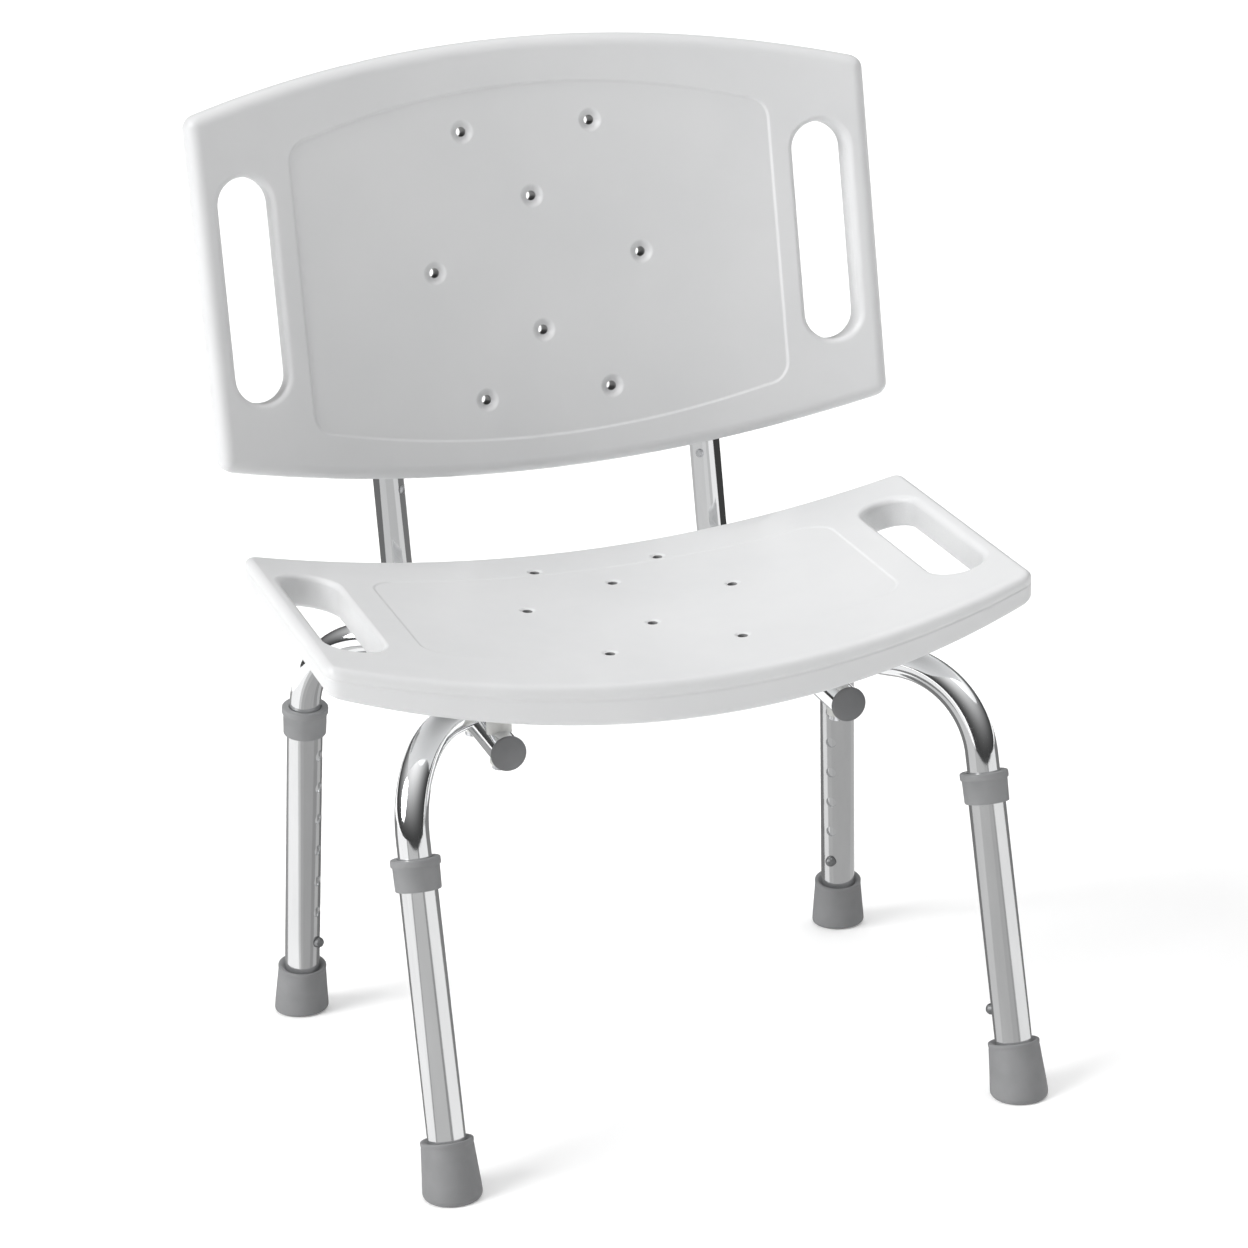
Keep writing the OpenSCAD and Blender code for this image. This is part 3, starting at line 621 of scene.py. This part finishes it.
def lower_tube(name, leg, s0, s1, around=72, up=30):
    """The sliding tube, with its row of height holes through one wall; it is meshed flat, then rolled up."""
    holes = [BUTTON_S + i * HOLE_PITCH for i in range(HOLE_N)]
    half = math.pi * LOWER_R

    def hole_loop(s, r, n=28):
        b = np.arange(n) * 2 * math.pi / n
        return np.stack([np.arcsin(r * np.cos(b) / LOWER_R) * LOWER_R, s + r * np.sin(b)], 1)
    xs, ys = np.linspace(-half, half, around + 1), np.linspace(s0, s1, up + 1)
    border = np.vstack([np.stack([xs[:-1], np.full(around, s0)], 1),
                        np.stack([np.full(up, half), ys[:-1]], 1),
                        np.stack([xs[:0:-1], np.full(around, s1)], 1),
                        np.stack([np.full(up, -half), ys[:0:-1]], 1)])
    closed = [border] + [hole_loop(s, r) for s in holes for r in (HOLE_R, HOLE_R + HOLE_LAND)]
    gx, gy = np.meshgrid(xs[1:-1], ys[1:-1])

    def keep(c):
        ok = (np.abs(c[:, 0]) < half) & (c[:, 1] > s0) & (c[:, 1] < s1)
        for s in holes:
            ok &= ~inside(c, hole_loop(s, HOLE_R))
        return ok
    p, tris = flat_mesh(closed, [], np.stack([gx.ravel(), gy.ravel()], 1), TUBE_GRID_CLEAR, keep)

    # join the seam
    seam = {round(p[i, 1], 3): i for i in np.where(p[:, 0] < -half + 1e-4)[0]}
    remap = np.arange(len(p))
    for i in np.where(p[:, 0] > half - 1e-4)[0]:
        remap[i] = seam.get(round(p[i, 1], 3), i)
    p, tris = compact(p, remap[tris])

    n = len(p)
    a = p[:, 0] / LOWER_R
    radial = np.stack([np.cos(a), np.sin(a), np.zeros(n)], 1)
    to_hole = np.min([np.hypot(LOWER_R * np.sin(a), p[:, 1] - s) for s in holes], 0)
    on_hole = (to_hole < HOLE_R + TUBE_ON_HOLE) & (np.cos(a) >= 0)
    outer_r = np.where(on_hole, LOWER_R - HOLE_EDGE, LOWER_R)
    verts = np.vstack([np.column_stack([radial[:, :2] * outer_r[:, None], p[:, 1]]),
                       np.column_stack([radial[:, :2] * LOWER_IN, p[:, 1]])])
    faces = [tuple(t) for t in tris] + [tuple(t[::-1] + n) for t in tris]
    corner_n = [radial[v] for t in tris for v in t] + [-radial[v] for t in tris for v in t[::-1]]
    for u, v in rim_edges(tris):
        quad = (v, u, u + n, v + n)
        pts = verts[list(quad)]
        faces.append(quad)
        corner_n += [unit(np.cross(pts[1] - pts[0], pts[2] - pts[1]))] * 4
    at = np.column_stack([a * LOWER_R * MM, p[:, 1] * MM, np.zeros(n)])
    corner_n = leg.turn(np.array(corner_n))
    return add_mesh(name, leg.at(verts), faces, corner_n, {"tube_at": np.vstack([at, at])})


# ---------------------------------------------------------------- materials
class Mat:
    """A small helper round one node-based material."""
    def __init__(self, name, **sockets):
        self.mat = bpy.data.materials.new(name)
        self.mat.use_nodes = True
        self.tree = self.mat.node_tree
        self.bsdf = self.tree.nodes["Principled BSDF"]
        for key, value in sockets.items():
            self.bsdf.inputs[key.replace("_", " ")].default_value = value

    def node(self, kind, **values):
        n = self.tree.nodes.new(kind)
        for key, value in values.items():
            if key in n.inputs:
                n.inputs[key].default_value = value
            else:
                setattr(n, key, value)
        return n

    def link(self, a, b):
        self.tree.links.new(a, b)

    def coords(self, attribute=None, scale=(1, 1, 1)):
        """Coordinates from a mesh attribute, or else the object's own."""
        if attribute:
            source = self.node("ShaderNodeAttribute", attribute_name=attribute).outputs["Vector"]
        else:
            source = self.node("ShaderNodeTexCoord").outputs["Object"]
        mapping = self.node("ShaderNodeMapping")
        mapping.inputs["Scale"].default_value = scale
        self.link(source, mapping.inputs["Vector"])
        return mapping.outputs["Vector"]

    def noise(self, vector, scale, detail=3.0, roughness=0.5):
        n = self.node("ShaderNodeTexNoise", Scale=scale, Detail=detail, Roughness=roughness)
        self.link(vector, n.inputs["Vector"])
        return n.outputs["Fac"]

    def ramp(self, value, low, high, start=0.0, end=1.0):
        """Carries start to end over to low to high."""
        n = self.node("ShaderNodeMapRange")
        self.link(value, n.inputs["Value"])
        for key, v in (("From Min", start), ("From Max", end), ("To Min", low), ("To Max", high)):
            n.inputs[key].default_value = v
        return n.outputs["Result"]

    def colour(self, value, dark, light, start=0.3, end=0.7):
        n = self.node("ShaderNodeValToRGB")
        for stop, position, shade in zip(n.color_ramp.elements, (start, end), (dark, light)):
            stop.position, stop.color = position, (*shade, 1)
        self.link(value, n.inputs["Fac"])
        self.link(n.outputs["Color"], self.bsdf.inputs["Base Color"])
        return n.outputs["Color"]

    def rough(self, value, low, high, start=0.3, end=0.7):
        self.link(self.ramp(value, low, high, start, end), self.bsdf.inputs["Roughness"])

    def bump(self, *layers):
        """layers are (height, strength, distance in metres)."""
        previous = None
        for height, strength, distance in layers:
            n = self.node("ShaderNodeBump", Strength=strength, Distance=distance)
            self.link(height, n.inputs["Height"])
            if previous is not None:
                self.link(previous, n.inputs["Normal"])
            previous = n.outputs["Normal"]
        self.link(previous, self.bsdf.inputs["Normal"])


def panel_plastic():
    """White blow-moulded plastic: faint mottling and grain, and painted shade that darkens its colour deep
    inside the slots and holes.
    """
    m = Mat("white_moulded_plastic", Roughness=0.42, IOR=1.52, Specular_IOR_Level=0.45)
    at = m.coords("panel_at")
    wide, grain = m.noise(at, 9.0, 3.0), m.noise(at, 1500.0, 2.0, 0.6)
    tint = m.colour(wide, (0.645, 0.650, 0.655), (0.68, 0.683, 0.687))
    # painted shade: ambient occlusion multiplies the colour down in slots, holes, creases and near other
    # parts
    shade = m.node("ShaderNodeAmbientOcclusion", Distance=0.06, samples=8)
    mix = m.node("ShaderNodeMix", data_type="RGBA", blend_type="MULTIPLY")
    mix.inputs["Factor"].default_value = 1.0
    colour_a, colour_b, colour_out = mix.inputs[6], mix.inputs[7], mix.outputs[2]
    m.link(tint, colour_a)
    m.link(m.ramp(shade.outputs["AO"], 0.15, 1.0, 0.10, 0.80), colour_b)
    m.link(colour_out, m.bsdf.inputs["Base Color"])
    m.rough(m.noise(at, 60.0, 4.0), 0.40, 0.50)
    m.bump((m.noise(at, 24.0, 2.0), 0.06, 0.002), (grain, 0.10, 0.0002))
    return m.mat


def tube_metal(name, light, dark, rough, line, scratch):
    """Drawn metal: fine lines along the tube, and wider uneven patches."""
    m = Mat(name, Metallic=1.0, Roughness=rough)
    lines = m.noise(m.coords("tube_at", (2600, 10, 1)), 1.0, 3.0, 0.65)
    wide = m.noise(m.coords("tube_at", (60, 16, 1)), 1.0, 4.0, 0.6)
    m.colour(wide, dark, light)
    m.rough(lines, rough * 0.8, rough * 1.35)
    m.bump((lines, line, 0.00004), (wide, scratch, 0.0002))
    return m.mat


def solid_metal(name, light, dark, rough, scale=500.0):
    """Plated or turned metal with a fine patchy surface."""
    m = Mat(name, Metallic=1.0, Roughness=rough)
    at = m.coords()
    patch, fine = m.noise(at, scale, 4.0, 0.65), m.noise(at, scale * 6, 2.0)
    m.colour(patch, dark, light)
    m.rough(patch, rough * 0.8, rough * 1.3)
    m.bump((fine, 0.08, 0.0001))
    return m.mat


def plain_plastic(name, dark, light, rough, grain=1800.0, strength=0.12):
    """Moulded plastic or rubber with a fine grain."""
    m = Mat(name, Roughness=rough, IOR=1.5)
    at = m.coords()
    m.colour(m.noise(at, 45.0, 4.0), dark, light)
    m.rough(m.noise(at, 160.0, 3.0), rough * 0.9, rough * 1.12)
    m.bump((m.noise(at, grain, 2.0, 0.6), strength, 0.0002))
    return m.mat


WHITE = panel_plastic()
POLISHED = tube_metal("polished_tube", (0.93, 0.935, 0.94), (0.86, 0.87, 0.88), 0.07, 0.03, 0.02)
SATIN = tube_metal("satin_tube", (0.88, 0.885, 0.89), (0.82, 0.825, 0.83), 0.13, 0.08, 0.03)
GREY = plain_plastic("grey_collar_plastic", (0.225, 0.228, 0.232), (0.255, 0.258, 0.262), 0.5)
RUBBER = plain_plastic("grey_foot_rubber", (0.20, 0.202, 0.206), (0.23, 0.232, 0.236), 0.62, 1300.0, 0.22)
DARK = plain_plastic("dark_cap_plastic", (0.15, 0.152, 0.156), (0.18, 0.182, 0.186), 0.42)
CLEAR = plain_plastic("natural_nylon", (0.62, 0.62, 0.60), (0.70, 0.70, 0.68), 0.4)
ZINC = solid_metal("zinc_plated_steel", (0.72, 0.73, 0.74), (0.58, 0.59, 0.61), 0.28)
PIN = solid_metal("dull_steel_pin", (0.36, 0.365, 0.37), (0.26, 0.265, 0.27), 0.34)
BRASS = solid_metal("turned_brass", (0.80, 0.62, 0.30), (0.68, 0.50, 0.22), 0.25)

# ---------------------------------------------------------------- pieces
# the parting line, a shallow groove in a panel's wall: (part of the way down, mm outwards, normal's tilt)
PARTING = [(0.10, 0, 0), (0.15, -0.25, -0.5), (0.21, -0.5, 0), (0.27, -0.25, 0.5), (0.32, 0, 0)]


def seat_sink(y):
    """How far the middle of the seat is sunk: only its sides show a step."""
    return 0.55 * smooth((96 - np.abs(y)) / 30)


def back_sink(y):
    """How far the middle of the backrest is sunk: the same all round."""
    return np.full(len(y), 1.2)


# frame is the line round the sunk middle: half its width, its reach down and up, and its corner radius;
# dimple is the hollow round a drain hole: its depth, reach and the width of its slope
SEAT_LOOK = dict(t=SEAT_T, under_r=SEAT_UNDER_R, edge=6.0, frame=(168.0, 74.0, 74.0, 20.0),
                 sink=seat_sink, dimple=(0.9, 5.6, 2.1), channels=False)
BACK_LOOK = dict(t=BACK_T, under_r=DISH_R + BACK_T, edge=10.0, frame=(177.0, 103.0, 96.0, 16.0),
                 sink=back_sink, dimple=(3.4, 8.8, 5.4), channels=True)

for word, spec, drains, look, place in (("seat", SEAT, SEAT_DRAINS, SEAT_LOOK, seat_place),
                                        ("back", BACK, BACK_DRAINS, BACK_LOOK, back_place)):
    make_panel(f"{word}_panel_skin", f"{word}_panel", Panel(spec, drains, look), place, WHITE)

for side, word in ((-1, "left"), (1, "right")):
    front, rear = Leg("front", side), Leg("rear", side)
    path = [front.at([0, 0, UPPER_END]), front.corner, front.inner,
            rear.inner, rear.corner, rear.at([0, 0, UPPER_END])]
    tube = swept_tube(f"{word}_leg_frame_tube", path, LEG_BEND)
    finish_piece(tube, "frame", POLISHED, f"{word}_leg_frame")

    # the back tube runs under the seat, then turns up where that line meets the backrest's
    first = seat_place([TUBE_X, BACK_RUN_FRONT, BACK_RUN_Z])
    top = back_place([TUBE_X, BACK_TUBE_TOP, -TUBE_DEPTH])
    run, rise, gap = turned([0, 1, 0], SEAT_TILT), turned([0, 1, 0], 90 - RECLINE), top - first
    reach = (gap[1] * rise[2] - gap[2] * rise[1]) / (run[1] * rise[2] - run[2] * rise[1])
    path = [mirrored(p, side) for p in (first, first + reach * run, top)]
    tube = swept_tube(f"{word}_back_tube_bent", path, BACK_BEND)
    finish_piece(tube, "frame", POLISHED, f"{word}_back_tube")
    viewer_right = np.array([1.0, 0, 0])
    out_of_tube = Axis(path[0], path[0] - path[1], viewer_right)
    cap = lathe(f"{word}_front_cap_domed", out_of_tube, cap_profile(UPPER_R + CAP_LIP))
    finish_piece(cap, "frame", DARK, f"{word}_front_cap")
    out_of_tube = Axis(path[2], path[2] - path[1], viewer_right)
    plug = lathe(f"{word}_top_plug_domed", out_of_tube, cap_profile(UPPER_R))
    finish_piece(plug, "frame", DARK, "back_tube_top_plugs")

    for end, leg in (("front", front), ("rear", rear)):
        name, body = f"{end}_{word}", f"{end}_{word}_leg"
        top_s = TUBE_TOP[end]
        tube = lower_tube(f"{name}_lower_tube_drilled", leg, FOOT_BORE + 2, top_s)
        finish_piece(tube, body, SATIN, f"{name}_lower_tube")
        sleeve = lathe(f"{name}_collar_moulded", leg, collar_profile(top_s))
        finish_piece(sleeve, body, GREY, f"{name}_collar")
        boot = lathe(f"{name}_foot_moulded", leg, foot_profile(), level=lambda s: 1 - smooth(s / LEVEL_TO))
        finish_piece(boot, body, RUBBER, f"{name}_foot")

# the CAD nodes, by how their names end; the ones that nothing replaces show in the render
NODE_LOOKS = {"lower_tube": SATIN, "collar": GREY, "foot": RUBBER, "foot_washer": ZINC, "button": PIN,
              "front_cap": DARK, "top_plugs": DARK, "saddles": CLEAR, "spacers": CLEAR, "washers": CLEAR,
              "inserts": BRASS, "springs": ZINC, "bolts": ZINC, "screws": ZINC, "rivets": ZINC,
              "leg_frame": POLISHED, "back_tube": POLISHED, "panel": WHITE}
for name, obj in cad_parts.items():
    look = next((m for key, m in NODE_LOOKS.items() if name.endswith(key)), ZINC)
    obj.data.materials.clear()
    obj.data.materials.append(look)

# ---------------------------------------------------------------- camera, floor and light
# metres and degrees; the focal length is in pixels of the photograph's frame
CAMERA_AT = (-0.7571, -2.4214, 1.0201)
CAMERA_AHEAD, CAMERA_ACROSS, CAMERA_ROLL = (0.28639, 0.91950, -0.26926), (0.95476, -0.29737, 0), -2.96
FOCAL_PX, FRAME_PX, SENSOR_MM = 3820, 1248, 36

camera = bpy.data.objects.new("camera", bpy.data.cameras.new("camera"))
bpy.context.scene.collection.objects.link(camera)
ahead, across = Vector(CAMERA_AHEAD).normalized(), Vector(CAMERA_ACROSS).normalized()
upward = across.cross(ahead)
roll = math.radians(CAMERA_ROLL)
right = math.cos(roll) * across + math.sin(roll) * upward
above = -math.sin(roll) * across + math.cos(roll) * upward
axes = Matrix((right, above, -ahead)).transposed().to_4x4()
camera.matrix_world = Matrix.Translation(CAMERA_AT) @ axes
camera.data.sensor_width = SENSOR_MM
camera.data.lens = FOCAL_PX / FRAME_PX * SENSOR_MM
camera.data.clip_end = 60
bpy.context.scene.camera = camera

RAYS = ("camera", "diffuse", "glossy", "transmission", "shadow")


def stage_mesh(name, verts, faces, materials, shown=RAYS):
    """A piece of the set, in metres, that only some kinds of ray can see."""
    mesh = bpy.data.meshes.new(name)
    mesh.from_pydata(verts, [], faces)
    obj = bpy.data.objects.new(name, mesh)
    bpy.context.scene.collection.objects.link(obj)
    for m in materials:
        mesh.materials.append(m)
    for kind in RAYS:
        setattr(obj, f"visible_{kind}", kind in shown)
    return obj


def glow(name, value):
    """Plain white light of one brightness."""
    m = Mat(name, Base_Color=(0, 0, 0, 1), Emission_Color=(1, 1, 1, 1), Emission_Strength=value)
    m.bsdf.inputs["Specular IOR Level"].default_value = 0
    return m.mat


def wall_ring(centre, radius, low, high, to_left, to_right, inner=None, card_degrees=4):
    """A round wall of cards, as (verts, faces, brightnesses).

    to_left and to_right each list (end angle, brightness) from the camera's side round to the back, and
    inner is how near the middle the cards run in along the bottom.
    """
    facing = math.atan2(-ahead.y, -ahead.x)
    verts, faces, values = [], [], []

    def card(corners, value):
        faces.append(tuple(range(len(verts), len(verts) + 4)))
        verts.extend((centre[0] + r * math.cos(t), centre[1] + r * math.sin(t), z) for t, r, z in corners)
        values.append(value)
    for sign, bands in ((-1, to_left), (1, to_right)):
        start = 0.0
        for end, value in bands:
            steps = max(1, int((end - start) / card_degrees))
            for j in range(steps):
                a, b = (facing + sign * math.radians(start + (end - start) * t / steps) for t in (j, j + 1))
                card(((a, radius, low), (b, radius, low), (b, radius, high), (a, radius, high)), value)
                if inner:
                    card(((a, inner, low), (b, inner, low), (b, radius, low), (a, radius, low)), value)
            start = end
    return verts, faces, values


FLOOR, BACKDROP_R = 30, 24      # metres from the middle
paper = Mat("pale_floor", Roughness=0.9, Base_Color=(0.93, 0.93, 0.93, 1), Emission_Color=(1, 1, 1, 1),
            Emission_Strength=0.17)
stage_mesh("floor", [(x * FLOOR, y * FLOOR, 0) for x, y in ((-1, -1), (1, -1), (1, 1), (-1, 1))],
           [(0, 1, 2, 3)], [paper.mat])

# a white backdrop for the camera alone: the light comes from the world
verts, faces, _ = wall_ring((0, 0), BACKDROP_R, -0.5, BACKDROP_R, [(180, 1)], [(180, 1)])
stage_mesh("backdrop", verts, faces, [glow("backdrop_white", 1.05)], ("camera",))

# cards round each tube, which show only in the polished metal: the tube's place, then the bands of
# (end angle, brightness) from the camera's side round to the back, to the left and to the right
LEG_CARDS, BACK_CARDS, CARD_INNER = (0.10, 0.002, 0.235), (0.05, 0.325, 0.42), 0.004
CARDS = {
    "front_left": ((-0.199, -0.170), LEG_CARDS,
                   [(40, 0.54), (47, 0.36), (118, 0.97), (152, 0.22), (180, 0.40)],
                   [(26, 0.54), (38, 0.30), (112, 0.90), (165, 0.22), (180, 0.40)]),
    "front_right": ((0.199, -0.170), LEG_CARDS,
                    [(60, 0.47), (116, 0.60), (165, 0.20), (180, 0.40)],
                    [(24, 0.42), (34, 0.34), (110, 0.84), (165, 0.20), (180, 0.40)]),
    "rear_left": ((-0.207, 0.154), LEG_CARDS,
                  [(18, 0.42), (32, 0.62), (112, 1.00), (165, 0.34), (180, 0.40)],
                  [(60, 0.38), (88, 0.30), (120, 0.46), (165, 0.18), (180, 0.40)]),
    "rear_right": ((0.207, 0.154), LEG_CARDS,
                   [(45, 0.41), (76, 0.45), (112, 0.80), (165, 0.20), (180, 0.40)],
                   [(100, 0.41), (140, 0.46), (180, 0.60)]),
    "back_left": ((-0.120, 0.140), BACK_CARDS,
                  [(40, 0.50), (100, 0.58), (165, 0.16), (180, 0.40)],
                  [(50, 0.50), (104, 0.66), (165, 0.18), (180, 0.40)]),
    "back_right": ((0.120, 0.140), BACK_CARDS,
                   [(40, 0.66), (130, 0.60), (180, 0.50)],
                   [(30, 0.55), (90, 0.90), (170, 0.05), (180, 0.20)]),
}
for name, (centre, ring_size, to_left, to_right) in CARDS.items():
    verts, faces, values = wall_ring(centre, *ring_size, to_left, to_right, CARD_INNER)
    levels = sorted(set(values))
    ring = stage_mesh(f"cards_{name}", verts, faces, [glow(f"card_{v:.2f}", v) for v in levels], ("glossy",))
    ring.data.polygons.foreach_set("material_index", [levels.index(v) for v in values])


def add_sun(name, energy, spread, direction):
    """A sun lamp that shines along direction; spread is how many degrees it is across."""
    lamp = bpy.data.objects.new(name, bpy.data.lights.new(name, "SUN"))
    lamp.data.energy, lamp.data.angle = energy, math.radians(spread)
    lamp.rotation_euler = Vector(direction).to_track_quat("-Z", "Y").to_euler()
    bpy.context.scene.collection.objects.link(lamp)


def studio_world(horizon, zenith):
    """A white sky, from dim at the horizon to bright overhead with the square of the height."""
    world = bpy.data.worlds.new("studio")
    bpy.context.scene.world = world
    world.use_nodes = True
    tree = world.node_tree
    direction, parts, square, strength = (tree.nodes.new(f"ShaderNode{kind}")
                                          for kind in ("TexCoord", "SeparateXYZ", "Math", "MapRange"))
    square.operation, square.use_clamp = "POWER", True
    square.inputs[1].default_value = 2.0
    strength.inputs["To Min"].default_value = horizon
    strength.inputs["To Max"].default_value = zenith
    sky = tree.nodes["Background"]
    sky.inputs["Color"].default_value = (1, 1, 1, 1)
    for a, b in ((direction.outputs["Generated"], parts.inputs[0]),
                 (parts.outputs["Z"], square.inputs[0]),
                 (square.outputs[0], strength.inputs["Value"]),
                 (strength.outputs["Result"], sky.inputs["Strength"])):
        tree.links.new(a, b)


KEY_SIDE, KEY_RISE = math.radians(80), math.radians(31)
add_sun("key", 2.5, 36, (math.sin(KEY_SIDE) * math.cos(KEY_RISE), math.cos(KEY_SIDE) * math.cos(KEY_RISE),
                         -math.sin(KEY_RISE)))
add_sun("fill", 0.6, 70, (-0.45, -0.1, -0.89))
studio_world(0.05, 1.15)
bpy.context.scene.view_settings.view_transform = "Standard"
